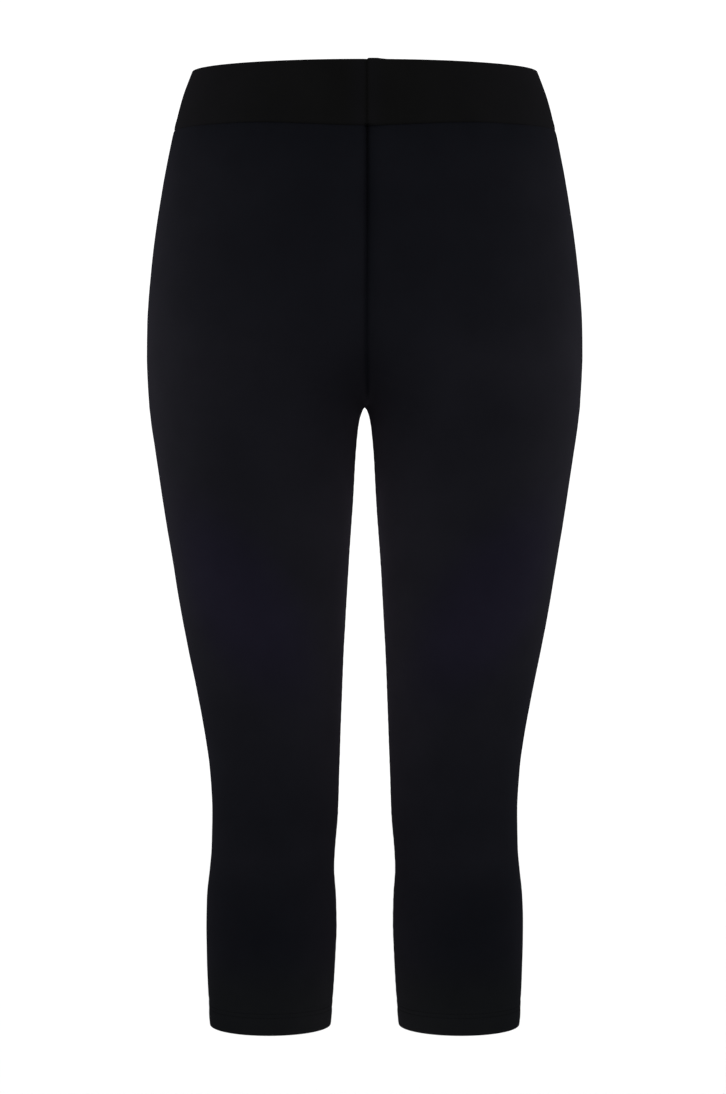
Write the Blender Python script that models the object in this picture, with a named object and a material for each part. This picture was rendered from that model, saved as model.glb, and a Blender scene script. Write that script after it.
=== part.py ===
"""Cropped stretch leggings, filled out as if worn, with nobody in them.

Two leg panels meet in one seam that runs down the centre front, under the crotch and up the centre
back. Each panel closes round its leg and ends in a turned hem. A waistband in two halves tops them.

Frame: metres, +Z up, origin in the middle of the waist opening, front towards -Y, and the wearer's
left towards +X. Sizes are in millimetres, and a drop is a distance below the waist's top edge.
"""

import math
from collections import namedtuple

import bmesh
import bpy
import numpy as np

MM = 0.001

# Driving dimensions.
WAIST_SEAM_DROP = 49.2  # at the sides and the back
WAIST_SEAM_DIP = 4.2  # how much lower the seam lies at the centre front
WAIST_SEAM_DIP_BY = 105.0  # the dip has gone this far from the centre front
CROTCH_DROP = 277.5
HEM_DROP = 787.4
SEAM_GAP = 0.3
SEAM_REACH = 30.0  # how far from the seam the panels make room for it
BRIDGE = 3.0  # radius with which the cloth bridges the fork between the legs

# In front the centre seam lies a little to the wearer's left: by shift where it is this far forward.
SeamShift = namedtuple("SeamShift", "forward shift")
SEAM_SHIFTS = (
    SeamShift(4.0, 0.0),
    SeamShift(9.0, 1.6),
    SeamShift(14.0, 2.5),
    SeamShift(35.0, 2.4),
    SeamShift(80.0, 2.0),
    SeamShift(100.0, 1.8),
)
SEAM_TURN = 16.0  # how far below the crotch the legs are even again

# One leg's own oval at each level. outer, front and back are how far it reaches from the body's
# middle, and inner is its edge next to the other leg (below BRIDGE where the two ovals merge).
# middle is the x of its foremost and rearmost points, side the y of its widest point, and square
# is the exponent of the oval, 2 for an ellipse.
Section = namedtuple("Section", "drop outer inner front back middle side square")
SECTIONS = (
    Section(0.0, 142.5, -140, 98.0, 98.0, 0, 0, 2.00),
    Section(24.0, 151.2, -148, 100.0, 101.0, 2, 0, 2.03),
    Section(50.0, 157.9, -152, 102.5, 105.0, 6, 1, 2.07),
    Section(100.0, 167.6, -146, 106.5, 115.0, 20, 3, 2.12),
    Section(150.0, 174.9, -124, 107.5, 125.0, 41, 5, 2.15),
    Section(190.0, 178.8, -90, 106.0, 128.5, 61, 6, 2.15),
    Section(212.0, 179.8, -65, 104.5, 126.8, 71.5, 6, 2.15),
    Section(234.0, 180.0, -36, 102.9, 123.0, 80, 6, 2.14),
    Section(250.0, 179.5, -15.5, 101.6, 119.2, 84.6, 5.5, 2.13),
    Section(262.0, 178.9, -4.2, 100.6, 115.8, 87.6, 5, 2.12),
    Section(270.0, 178.3, 0.6, 99.8, 113.2, 89.4, 4.6, 2.11),
    Section(CROTCH_DROP, 177.8, BRIDGE, 99.2, 110.9, 91.0, 4.2, 2.10),
    Section(284.0, 177.0, 4.5, 98.4, 108.2, 92.6, 3.7, 2.09),
    Section(291.8, 176.1, 5.8, 97.6, 105.4, 93.8, 3.2, 2.08),
    Section(312.0, 173.1, 7.6, 95.5, 99.2, 94.6, 2.1, 2.05),
    Section(354.0, 166.8, 9.8, 91.0, 89.5, 92, 0, 2.02),
    Section(395.0, 159.9, 12.7, 87.0, 82.5, 88.5, -1, 2.00),
    Section(436.0, 153.1, 15.0, 82.5, 75.5, 85, -2, 2.00),
    Section(478.0, 145.3, 17.3, 77.5, 68.5, 81, -3, 2.00),
    Section(519.0, 136.7, 18.9, 72.0, 61.5, 78, -4, 2.00),
    Section(552.0, 130.8, 20.0, 68.0, 56.5, 75.5, -4, 2.03),
    Section(577.0, 127.7, 21.0, 65.0, 54.0, 74.5, -4, 2.05),
    Section(611.0, 125.9, 22.1, 60.8, 54.5, 74.2, -1, 2.05),
    Section(643.0, 126.7, 24.6, 57.6, 59.0, 75.5, 2, 2.02),
    Section(658.0, 128.1, 25.3, 56.5, 62.0, 76.5, 4, 2.00),
    Section(684.0, 130.6, 23.8, 55.2, 65.5, 77.5, 6, 2.00),
    Section(706.0, 131.0, 23.4, 54.5, 66.0, 77.5, 6, 2.00),
    Section(734.0, 130.6, 24.5, 53.6, 64.0, 77.8, 6, 2.00),
    Section(767.0, 129.1, 26.6, 53.0, 59.5, 78.0, 4, 2.00),
    Section(HEM_DROP, 127.8, 28.2, 52.5, 56.5, 78.2, 2, 2.00),
)

# The leg panel from the waist seam to the crotch, and from there to the turned hem. inset is how
# far the outside lies in from the oval: at the waist seam and at the hem's folded edge.
Row = namedtuple("Row", "drop inset wall")
JERSEY_WALL = 1.5
HEM_WALL = 2.4
HEM_DEPTH = 20.0
SEAM_ROWS = (
    Row(WAIST_SEAM_DROP + SEAM_GAP / 2, 0.7, JERSEY_WALL),
    Row(WAIST_SEAM_DROP + 4.0, 0.1, JERSEY_WALL),
)
HEM_ROWS = (
    Row(HEM_DROP - HEM_DEPTH - 1.5, 0.0, JERSEY_WALL),
    Row(HEM_DROP - HEM_DEPTH, 0.0, HEM_WALL),
    Row(HEM_DROP - 0.8, 0.0, HEM_WALL),
    Row(HEM_DROP, 0.6, HEM_WALL - 1.2),
)
HIP_ROWS = 12
HIP_CROWDING = 1.9  # rows crowd towards the crotch, where the seam curves under
LEG_ROWS = 20
LEG_CROWDING = 1.5

# The waistband, with drop as a share of the way from its top edge to the waist seam.
BAND_WALL = 2.6
BAND_ROWS = (
    Row(0.000, 0.9, BAND_WALL - 1.8),
    Row(0.025, 0.2, BAND_WALL - 0.4),
    Row(0.400, 0.0, BAND_WALL),
    Row(0.780, 0.3, BAND_WALL - 0.3),
    Row(0.930, 0.0, BAND_WALL),
    Row(1.000, 0.7, BAND_WALL - 1.0),
)
ALLOWANCE_WIDTH = 12.0  # of the seam allowances, pressed to the wearer's left as a low ridge
ALLOWANCE_RISE = 0.5
ALLOWANCE_TALLER = 0.8  # the ridge stands this far above the top edge

# How deep the cloth turns in along the centre seam, at each drop.
Groove = namedtuple("Groove", "drop depth")
GROOVES = (
    Groove(0.0, 0.6),
    Groove(46.0, 0.8),
    Groove(56.0, 2.6),
    Groove(120.0, 1.8),
    Groove(240.0, 1.2),
    Groove(CROTCH_DROP, 0.0),
)

# The columns beside a centre seam: how far away each stands, and its shares of the groove's depth
# and of the allowances' rise. The left panel falls into the front seam over a wider strip.
SeamColumn = namedtuple("SeamColumn", "away groove rise")
NARROW_STRIP = (SeamColumn(0.0, 1.0, 0.0), SeamColumn(1.5, 0.35, 0.0), SeamColumn(3.5, 0.0, 0.0))
WIDE_STRIP = (SeamColumn(0.0, 1.0, 0.0), SeamColumn(3.2, 0.35, 0.0), SeamColumn(8.0, 0.0, 0.0))
RIDGE_STRIP = (
    SeamColumn(0.0, 1.0, 1.0),
    SeamColumn(1.2, 0.0, 1.0),
    SeamColumn(ALLOWANCE_WIDTH - 0.6, 0.0, 1.0),
    SeamColumn(ALLOWANCE_WIDTH + 0.6, 0.0, 0.0),
)
COLUMNS = 26  # of a half, between its two seam strips
DRAWN_TOGETHER = 0.6  # how much of their usual spacing the columns nearest a seam give up
OUTLINE_STEPS = 900  # points on a section before its columns are spaced along it

BLACK_JERSEY = ("black_jersey", (0.0060, 0.0060, 0.0078), 0.85)
BLACK_ELASTIC = ("black_elastic", (0.0050, 0.0050, 0.0051), 0.90)


def clear_scene():
    for thing in list(bpy.data.objects):
        bpy.data.objects.remove(thing)


def cloth_material(name, colour, roughness):
    material = bpy.data.materials.new(name)
    material.use_nodes = True
    shader = material.node_tree.nodes["Principled BSDF"]
    shader.inputs["Base Color"].default_value = (*colour, 1.0)
    shader.inputs["Roughness"].default_value = roughness
    shader.inputs["Metallic"].default_value = 0.0
    return material


def ease(share):
    """0 to 1 with a soft start and end, for a share that may run past either."""
    share = np.clip(share, 0.0, 1.0)
    return share * share * (3.0 - 2.0 * share)


def signed_power(values, exponent):
    return np.sign(values) * np.abs(values) ** exponent


def table_slopes(drops, values):
    """Slopes for a smooth curve through each column that never swings past its table's values."""
    secants = np.diff(values, axis=0) / np.diff(drops)[:, None]
    before, after = secants[:-1], secants[1:]
    agree = before * after > 0
    inner = np.where(agree, 2 * before * after / np.where(agree, before + after, 1.0), 0.0)
    return np.vstack([secants[:1], inner, secants[-1:]])


TABLE = np.array(SECTIONS, dtype=float)
TABLE_DROPS = TABLE[:, 0]
TABLE_SLOPES = table_slopes(TABLE_DROPS, TABLE)


def section_at(drop):
    row = int(np.clip(np.searchsorted(TABLE_DROPS, drop) - 1, 0, len(SECTIONS) - 2))
    span = TABLE_DROPS[row + 1] - TABLE_DROPS[row]
    t = (drop - TABLE_DROPS[row]) / span
    values = (
        (2 * t**3 - 3 * t**2 + 1) * TABLE[row]
        + (t**3 - 2 * t**2 + t) * span * TABLE_SLOPES[row]
        + (3 * t**2 - 2 * t**3) * TABLE[row + 1]
        + (t**3 - t**2) * span * TABLE_SLOPES[row + 1]
    )
    return Section(*values)


def half_outline(drop, strips):
    """The (x, y) of each column of one half at a level, from the centre front, or the inseam, round
    the outer side to the back. The outline is first laid out on the leg's own oval, as a reach from
    the middle, and x then follows from x^2 = reach^2 - BRIDGE^2, which rounds the fork."""
    section = section_at(drop)
    outer_half = math.hypot(section.outer, BRIDGE) - section.middle
    inner_half = section.middle - section.inner
    cut = BRIDGE - section.middle
    cut_share = np.clip(cut / (inner_half if cut < 0 else outer_half), -1.0, 1.0)
    turn = math.acos(signed_power(cut_share, section.square / 2))
    # Steps crowd towards both ends, where x changes fastest.
    angle = -turn * np.cos(np.linspace(0.0, math.pi, OUTLINE_STEPS))
    across = signed_power(np.cos(angle), 2 / section.square)
    along = signed_power(np.sin(angle), 2 / section.square)
    reach = section.middle + across * np.where(across > 0, outer_half, inner_half)
    depth = np.where(along > 0, section.back - section.side, section.front + section.side)
    x = np.sqrt(np.maximum(reach**2 - BRIDGE**2, 0.0))
    y = section.side + along * depth
    travel = np.concatenate([[0.0], np.cumsum(np.hypot(np.diff(x), np.diff(y)))])
    places = column_places(turn, angle, travel, strips)
    return np.interp(places, travel, x), np.interp(places, travel, y)


def column_places(turn, angle, travel, strips):
    """How far along the outline each column stands. Between the seam strips the columns keep to the
    angles that they have on the closed leg, and only those near the seam are drawn together."""
    front = [column.away for column in strips[0]]
    back = [travel[-1] - column.away for column in reversed(strips[1])]
    share = np.linspace(-1.0, 1.0, COLUMNS + 1)
    missing = math.pi - turn
    if missing > 0:
        power = max(1.0, DRAWN_TOGETHER * math.pi / missing)
        even = math.pi * share - missing * signed_power(share, power)
    else:
        even = math.pi * share
    even = np.interp(even, angle, travel) / travel[-1]
    return np.concatenate([front[:-1], front[-1] + even * (back[0] - front[-1]), back[1:]])


def waist_seam_dip(x, y):
    """How much lower than at the sides the waist seam lies, which it does only in front."""
    return np.where(y < 0, WAIST_SEAM_DIP * (1.0 - ease(np.abs(x) / WAIST_SEAM_DIP_BY)), 0.0)


def seam_plane(points):
    """The x of the centre seam: off the middle in front, and in it at the crotch and behind."""
    known = [row.forward for row in SEAM_SHIFTS]
    shift = np.interp(-points[..., 1], known, [row.shift for row in SEAM_SHIFTS])
    return shift * (1.0 - ease((-points[..., 2] - CROTCH_DROP) / SEAM_TURN))


def half_surface(rows, drop_of, hand, strips):
    """Points [row, column] of a half's outer surface. hand is 1 for the wearer's left, else -1."""
    lines = []
    for row in rows:
        drops = drop_of(row, waist_seam_dip(*half_outline(drop_of(row, 0.0), strips)))
        line = []
        for column, drop in enumerate(drops):
            x, y = half_outline(drop, strips)
            line.append((x[column], y[column], -drop))
        lines.append(line)
    points = np.array(lines)
    near = np.clip(1.0 - points[..., 0] / SEAM_REACH, 0.0, 1.0)
    points[..., 0] = hand * points[..., 0]
    points[..., 0] += near * (seam_plane(points) + hand * SEAM_GAP / 2)
    return points


def outward(points, hand, crotch_row):
    """Unit normals of the surface. On the centre seam they lie in the seam's plane, and at the top
    and bottom edges they are level, so that neighbouring edges stay parallel."""
    across = np.gradient(points, axis=1)
    down = np.gradient(points, axis=0)
    tube = slice(crotch_row, None)
    for steps in (across, down):
        steps[tube, 0] = steps[tube, -1] = (steps[tube, 0] + steps[tube, -1]) / 2
    normals = hand * np.cross(down, across)
    normals[:crotch_row, (0, -1), 0] = 0.0
    # The crotch point is at both ends of its row, and faces straight down.
    normals[crotch_row : crotch_row + 1, (0, -1)] = (0.0, 0.0, -1.0)
    normals[(0, -1), :, 2] = 0.0
    return normals / np.linalg.norm(normals, axis=-1, keepdims=True)


def seam_relief(points, strips, crotch_row):
    """How far each point turns in, or out if it is negative, beside the centre seams."""
    relief = np.zeros(points.shape[:2])
    depths = np.interp(
        -points[:crotch_row, :, 2], [row.drop for row in GROOVES], [row.depth for row in GROOVES]
    )
    for column, beside in enumerate(strips[0]):
        relief[:crotch_row, column] = depths[:, column] * beside.groove
        relief[:crotch_row, column] -= ALLOWANCE_RISE * beside.rise
    for column, beside in enumerate(strips[1], start=1):
        relief[:crotch_row, -column] = depths[:, -column] * beside.groove
    return relief


def wall(points, rows, hand, strips, crotch_row):
    """The outer and the inner points of a half's wall."""
    normals = outward(points, hand, crotch_row)
    inset = np.array([row.inset for row in rows])[:, None] + seam_relief(points, strips, crotch_row)
    outer = points - normals * inset[..., None]
    inner = outer - normals * np.array([row.wall for row in rows])[:, None, None]
    # Above the crotch the inside keeps to its own half, off the seam.
    seamed = inner[:crotch_row]
    edge = hand * seam_plane(seamed) + SEAM_GAP / 2
    seamed[..., 0] = hand * np.maximum(hand * seamed[..., 0], edge)
    return outer, inner


def wall_object(name, outer, inner, crotch_row, material):
    """One closed solid between two grids of points. From the crotch's row down, the first and the
    last column are the same, so the wall is a tube there."""
    rows, columns = outer.shape[:2]
    mesh = bmesh.new()
    layers = []
    for grid in (outer, inner):
        layer = [[mesh.verts.new(point * MM) for point in line] for line in grid[:crotch_row]]
        for line in grid[crotch_row:]:
            ring = [mesh.verts.new(point * MM) for point in line[:-1]]
            layer.append(ring + ring[:1])
        layers.append(layer)
    outside, inside = layers
    for layer in layers:
        for upper, lower in zip(layer, layer[1:]):
            for column in range(columns - 1):
                near, far = column, column + 1
                mesh.faces.new((upper[near], upper[far], lower[far], lower[near]))
    seamed = range(min(crotch_row + 1, rows))
    rims = [(outside[0], inside[0]), (outside[-1], inside[-1])]
    for end in (0, -1):
        rims.append(([outside[row][end] for row in seamed], [inside[row][end] for row in seamed]))
    for out_line, in_line in rims:
        for step in range(len(out_line) - 1):
            mesh.faces.new((out_line[step], out_line[step + 1], in_line[step + 1], in_line[step]))
    bmesh.ops.recalc_face_normals(mesh, faces=mesh.faces)
    bmesh.ops.triangulate(mesh, faces=mesh.faces, quad_method="SHORT_EDGE")
    data = bpy.data.meshes.new(name)
    mesh.to_mesh(data)
    mesh.free()
    data.shade_smooth()
    data.materials.append(material)
    thing = bpy.data.objects.new(name, data)
    bpy.context.scene.collection.objects.link(thing)
    return thing


def leg_panel(name, hand, strips, material):
    seam_end, hem_start = SEAM_ROWS[-1].drop, HEM_ROWS[0].drop
    rows = list(SEAM_ROWS)
    for step in range(1, HIP_ROWS + 1):
        share = 1.0 - (1.0 - step / HIP_ROWS) ** HIP_CROWDING
        rows.append(Row(seam_end + share * (CROTCH_DROP - seam_end), 0.0, JERSEY_WALL))
    crotch_row = len(rows) - 1
    for step in range(1, LEG_ROWS):
        share = (step / LEG_ROWS) ** LEG_CROWDING
        rows.append(Row(CROTCH_DROP + share * (hem_start - CROTCH_DROP), 0.0, JERSEY_WALL))
    rows.extend(HEM_ROWS)

    def drop_of(row, dip):
        """The waist seam's dip fades out of the rows below it by the crotch."""
        share = (CROTCH_DROP - row.drop) / (CROTCH_DROP - WAIST_SEAM_DROP)
        return row.drop + dip * np.clip(share, 0.0, 1.0)

    points = half_surface(rows, drop_of, hand, strips)
    outer, inner = wall(points, rows, hand, strips, crotch_row)
    return wall_object(name, outer, inner, crotch_row, material)


def waistband_half(name, hand, strips, material):
    def drop_of(row, dip):
        return row.drop * (WAIST_SEAM_DROP + dip - SEAM_GAP / 2)

    points = half_surface(BAND_ROWS, drop_of, hand, strips)
    for column, beside in enumerate(strips[0]):
        points[:2, column, 2] += ALLOWANCE_TALLER * beside.rise
    no_crotch = len(BAND_ROWS)
    outer, inner = wall(points, BAND_ROWS, hand, strips, no_crotch)
    return wall_object(name, outer, inner, no_crotch, material)


def main():
    clear_scene()
    jersey = cloth_material(*BLACK_JERSEY)
    elastic = cloth_material(*BLACK_ELASTIC)
    leg_panel("leg_left", 1, (WIDE_STRIP, NARROW_STRIP), jersey)
    leg_panel("leg_right", -1, (NARROW_STRIP, NARROW_STRIP), jersey)
    waistband_half("waistband_left", 1, (RIDGE_STRIP, NARROW_STRIP), elastic)
    waistband_half("waistband_right", -1, (NARROW_STRIP, NARROW_STRIP), elastic)


main()
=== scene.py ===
import math
from collections import namedtuple

import bpy
import numpy as np
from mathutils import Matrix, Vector, noise


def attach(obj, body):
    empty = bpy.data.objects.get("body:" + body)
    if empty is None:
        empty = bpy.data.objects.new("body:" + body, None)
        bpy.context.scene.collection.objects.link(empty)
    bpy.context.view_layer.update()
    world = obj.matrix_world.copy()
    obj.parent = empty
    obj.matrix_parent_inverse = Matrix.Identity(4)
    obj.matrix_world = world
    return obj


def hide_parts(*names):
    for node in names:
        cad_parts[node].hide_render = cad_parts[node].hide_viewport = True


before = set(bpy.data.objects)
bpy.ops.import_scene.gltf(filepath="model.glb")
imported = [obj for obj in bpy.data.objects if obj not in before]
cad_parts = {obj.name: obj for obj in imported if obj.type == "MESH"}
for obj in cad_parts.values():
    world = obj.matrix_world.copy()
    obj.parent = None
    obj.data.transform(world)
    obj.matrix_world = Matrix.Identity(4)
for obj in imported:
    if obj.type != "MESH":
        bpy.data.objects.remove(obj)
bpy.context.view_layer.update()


# ==================================================================================================
# The leg panels. Each is one piece of black nylon and elastane jersey, closed round the leg by its
# inseam, and one centre seam joins the two from waist to crotch to waist. Lengths are millimetres,
# and a drop is a distance below the top edge of the waistband.
# ==================================================================================================
MM = 0.001
WAIST_SEAM_DROP = 49.2
WAIST_SEAM_DIP = 4.2  # how much lower the waist seam lies at the centre front
WAIST_SEAM_DIP_BY = 105.0  # how far out from the middle the dip ends
CROTCH_DROP = 277.5
HEM_DROP = 787.4
SEAM_REACH = 30.0  # how far out from the centre seam the cloth follows its shift
BRIDGE = 3.0  # radius with which the cloth bridges the fork between the legs

# In front the centre seam lies a little to the wearer's left: by shift where it is this far forward.
SeamShift = namedtuple("SeamShift", "forward shift")
SEAM_SHIFTS = (
    SeamShift(4.0, 0.0),
    SeamShift(9.0, 1.6),
    SeamShift(14.0, 2.5),
    SeamShift(35.0, 2.4),
    SeamShift(80.0, 2.0),
    SeamShift(100.0, 1.8),
)

SEAM_TURN = 16.0  # how far below the crotch the legs are even again

# One leg's own oval at each level. outer, front and back are how far it reaches from the body's
# middle, and inner is its edge next to the other leg (below BRIDGE where the two ovals merge).
# middle is the x of its foremost and rearmost points, side the y of its widest point, and square
# is the exponent of the oval, 2 for an ellipse.
Section = namedtuple("Section", "drop outer inner front back middle side square")
SECTIONS = (
    Section(0.0, 142.5, -140, 98.0, 98.0, 0, 0, 2.00),
    Section(24.0, 151.2, -148, 100.0, 101.0, 2, 0, 2.03),
    Section(50.0, 157.9, -152, 102.5, 105.0, 6, 1, 2.07),
    Section(100.0, 167.6, -146, 106.5, 115.0, 20, 3, 2.12),
    Section(150.0, 174.9, -124, 107.5, 125.0, 41, 5, 2.15),
    Section(190.0, 178.8, -90, 106.0, 128.5, 61, 6, 2.15),
    Section(212.0, 179.8, -65, 104.5, 126.8, 71.5, 6, 2.15),
    Section(234.0, 180.0, -36, 102.9, 123.0, 80, 6, 2.14),
    Section(250.0, 179.5, -15.5, 101.6, 119.2, 84.6, 5.5, 2.13),
    Section(262.0, 178.9, -4.2, 100.6, 115.8, 87.6, 5, 2.12),
    Section(270.0, 178.3, 0.6, 99.8, 113.2, 89.4, 4.6, 2.11),
    Section(CROTCH_DROP, 177.8, BRIDGE, 99.2, 110.9, 91.0, 4.2, 2.10),
    Section(284.0, 177.0, 4.5, 98.4, 108.2, 92.6, 3.7, 2.09),
    Section(291.8, 176.1, 5.8, 97.6, 105.4, 93.8, 3.2, 2.08),
    Section(312.0, 173.1, 7.6, 95.5, 99.2, 94.6, 2.1, 2.05),
    Section(354.0, 166.8, 9.8, 91.0, 89.5, 92, 0, 2.02),
    Section(395.0, 159.9, 12.7, 87.0, 82.5, 88.5, -1, 2.00),
    Section(436.0, 153.1, 15.0, 82.5, 75.5, 85, -2, 2.00),
    Section(478.0, 145.3, 17.3, 77.5, 68.5, 81, -3, 2.00),
    Section(519.0, 136.7, 18.9, 72.0, 61.5, 78, -4, 2.00),
    Section(552.0, 130.8, 20.0, 68.0, 56.5, 75.5, -4, 2.03),
    Section(577.0, 127.7, 21.0, 65.0, 54.0, 74.5, -4, 2.05),
    Section(611.0, 125.9, 22.1, 60.8, 54.5, 74.2, -1, 2.05),
    Section(643.0, 126.7, 24.6, 57.6, 59.0, 75.5, 2, 2.02),
    Section(658.0, 128.1, 25.3, 56.5, 62.0, 76.5, 4, 2.00),
    Section(684.0, 130.6, 23.8, 55.2, 65.5, 77.5, 6, 2.00),
    Section(706.0, 131.0, 23.4, 54.5, 66.0, 77.5, 6, 2.00),
    Section(734.0, 130.6, 24.5, 53.6, 64.0, 77.8, 6, 2.00),
    Section(767.0, 129.1, 26.6, 53.0, 59.5, 78.0, 4, 2.00),
    Section(HEM_DROP, 127.8, 28.2, 52.5, 56.5, 78.2, 2, 2.00),
)

# Columns run round each panel from its front seam or inseam to its back one: some at set distances
# from a seam, where the cloth turns in, and the rest spread over the panel.
SEAM_COLUMNS = (0.0, 0.4, 0.9, 1.5, 2.3, 3.3, 4.6, 6.5, 9.0, 12.0)
PANEL_COLUMNS = 104
DRAWN_TOGETHER = 0.6  # how sharply the columns draw in towards the centre seam
OUTLINE_STEPS = 700
LEVEL_BY = 8.0  # how far from an edge the cloth's normals begin to turn level

# The levels at which the form is worked out, crowded towards the crotch from above and below.
HIP_LEVELS = 260
HIP_LEVELS_CROWD = 1.9
LEG_LEVELS = 240
LEG_LEVELS_CROWD = 1.3


def ease(share):
    """0 to 1 with a soft start and end, for a share that may run past either."""
    share = np.clip(share, 0.0, 1.0)
    return share * share * (3.0 - 2.0 * share)


def signed_power(values, exponent):
    return np.sign(values) * np.abs(values) ** exponent


def sections_at(drops):
    """The section at each drop, on smooth curves that never swing past the table's values."""
    table = np.array(SECTIONS, dtype=float)
    known = table[:, 0]
    secants = np.diff(table, axis=0) / np.diff(known)[:, None]
    before, after = secants[:-1], secants[1:]
    agree = before * after > 0
    inner = np.where(agree, 2 * before * after / np.where(agree, before + after, 1.0), 0.0)
    slopes = np.vstack([secants[:1], inner, secants[-1:]])
    row = np.clip(np.searchsorted(known, drops) - 1, 0, len(known) - 2)
    span = (known[row + 1] - known[row])[:, None]
    t = (drops[:, None] - known[row][:, None]) / span
    values = (
        (2 * t**3 - 3 * t**2 + 1) * table[row]
        + (t**3 - 2 * t**2 + t) * span * slopes[row]
        + (3 * t**2 - 2 * t**3) * table[row + 1]
        + (t**3 - t**2) * span * slopes[row + 1]
    )
    return Section(*values.T[:, :, None])


Form = namedtuple("Form", "drop x y travel turn")


def half_form():
    """The form of one half at many levels: x, y, the way travelled round from the front seam or
    the inseam, and the turn about the leg (0 outside, negative in front) of every column."""
    hip = 1.0 - (1.0 - np.linspace(0.0, 1.0, HIP_LEVELS + 1)) ** HIP_LEVELS_CROWD
    leg = np.linspace(0.0, 1.0, LEG_LEVELS + 1)[1:] ** LEG_LEVELS_CROWD
    drops = np.concatenate([hip * CROTCH_DROP, CROTCH_DROP + leg * (HEM_DROP - CROTCH_DROP)])
    section = sections_at(drops)
    outer_half = np.hypot(section.outer, BRIDGE) - section.middle
    inner_half = section.middle - section.inner
    cut = BRIDGE - section.middle
    cut_share = np.clip(cut / np.where(cut < 0, inner_half, outer_half), -1.0, 1.0)
    last_turn = np.arccos(signed_power(cut_share, section.square / 2))
    turn = -last_turn * np.cos(np.linspace(0.0, math.pi, OUTLINE_STEPS))
    across = signed_power(np.cos(turn), 2 / section.square)
    along = signed_power(np.sin(turn), 2 / section.square)
    reach = section.middle + across * np.where(across > 0, outer_half, inner_half)
    depth = np.where(along > 0, section.back - section.side, section.front + section.side)
    x = np.sqrt(np.maximum(reach**2 - BRIDGE**2, 0.0))
    y = section.side + along * depth
    steps = np.hypot(np.diff(x), np.diff(y))
    travel = np.hstack([np.zeros((len(drops), 1)), np.cumsum(steps, axis=1)])
    fields = (x, y, travel, turn)
    columns = []
    for level, way in enumerate(travel):
        places = column_places(last_turn[level, 0], turn[level], way)
        columns.append([np.interp(places, way, field[level]) for field in fields])
    return Form(drops, *np.array(columns).transpose(1, 0, 2))


def column_places(last_turn, turn, travel):
    """How far round from the front seam each column lies on one level."""
    front = np.array(SEAM_COLUMNS)
    back = travel[-1] - front[::-1]
    share = np.linspace(-1.0, 1.0, PANEL_COLUMNS + 1)
    missing = math.pi - last_turn
    even = math.pi * share
    if missing > 0:
        even -= missing * signed_power(share, max(1.0, DRAWN_TOGETHER * math.pi / missing))
    even = np.interp(even, turn, travel) / travel[-1]
    return np.concatenate([front[:-1], front[-1] + even * (back[0] - front[-1]), back[1:]])


HALF = half_form()


def read_form(field, drops):
    """A field of the form, read at a drop for each row and column."""
    low = np.clip(np.searchsorted(HALF.drop, drops, side="right") - 1, 0, len(HALF.drop) - 2)
    share = (drops - HALF.drop[low]) / (HALF.drop[low + 1] - HALF.drop[low])
    column = np.arange(field.shape[1])
    return field[low, column] * (1.0 - share) + field[low + 1, column] * share


def waist_seam_dip(drops):
    """How much lower than at the sides the waist seam lies, for the columns at these drops."""
    x, y = read_form(HALF.x, drops), read_form(HALF.y, drops)
    return np.where(y < 0, WAIST_SEAM_DIP * (1.0 - ease(np.abs(x) / WAIST_SEAM_DIP_BY)), 0.0)


def seam_plane(y, drops):
    """The x of the centre seam: off the middle in front, and in it at the crotch and behind."""
    shift = np.interp(-y, [row.forward for row in SEAM_SHIFTS], [row.shift for row in SEAM_SHIFTS])
    return shift * (1.0 - ease((drops - CROTCH_DROP) / SEAM_TURN))


def place_points(drops, hand):
    """Points [row, column] on the form. hand is 1 for the wearer's left and -1 for the right."""
    x, y = read_form(HALF.x, drops), read_form(HALF.y, drops)
    near = np.clip(1.0 - x / SEAM_REACH, 0.0, 1.0)
    x = hand * x + near * seam_plane(y, drops)
    return np.dstack([x, y, -drops])


def outward(points, hand, crotch_row):
    """Unit normals, in the seam's plane on the centre seam and level at the top and bottom edge, so
    that the walls of neighbouring pieces end square to each other."""
    across = np.gradient(points, axis=1)
    down = np.gradient(points, axis=0)
    tube = slice(crotch_row, None)
    for steps in (across, down):
        steps[tube, 0] = steps[tube, -1] = (steps[tube, 0] + steps[tube, -1]) / 2
    normals = hand * np.cross(down, across)
    normals[:crotch_row, (0, -1), 0] = 0.0
    normals[crotch_row : crotch_row + 1, (0, -1)] = (0.0, 0.0, -1.0)
    from_edge = np.minimum(points[0, :, 2] - points[..., 2], points[..., 2] - points[-1, :, 2])
    normals[..., 2] *= ease(from_edge / LEVEL_BY)
    return normals / np.linalg.norm(normals, axis=-1, keepdims=True)


# How far the cloth turns in along the centre seam and the inseams: a narrow groove, and in front,
# on the wearer's left, a wider fall towards it, because the allowances pull that side in.
Groove = namedtuple("Groove", "drop depth fall")
GROOVES = (
    Groove(0.0, 1.3, 0.0),
    Groove(51.4, 1.4, 0.1),
    Groove(53.6, 4.0, 2.6),
    Groove(60.0, 3.5, 2.8),
    Groove(75.0, 3.0, 2.8),
    Groove(120.0, 2.4, 2.6),
    Groove(160.0, 1.8, 2.1),
    Groove(200.0, 1.1, 1.3),
    Groove(245.0, 0.5, 0.7),
    Groove(270.0, 0.3, 0.3),
    Groove(CROTCH_DROP, 0.1, 0.0),
    Groove(292.0, 0.45, 0.0),
    Groove(HEM_DROP, 0.45, 0.0),
)
GROOVE_REACH = 1.7
FALL_REACH = 8.0
GROOVE_POWER = 1.6  # how squarely the cloth turns into a groove or a fall
PUCKER_PITCH = 9.0  # of the small puckers across a seam
PUCKER_DRIFT = 1.7  # how far their spacing strays, in radians of a pucker, and over what length
PUCKER_DRIFT_BY = 31.0
PUCKER_HEIGHT = 0.10
PUCKER_REACH = 5.0

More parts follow.
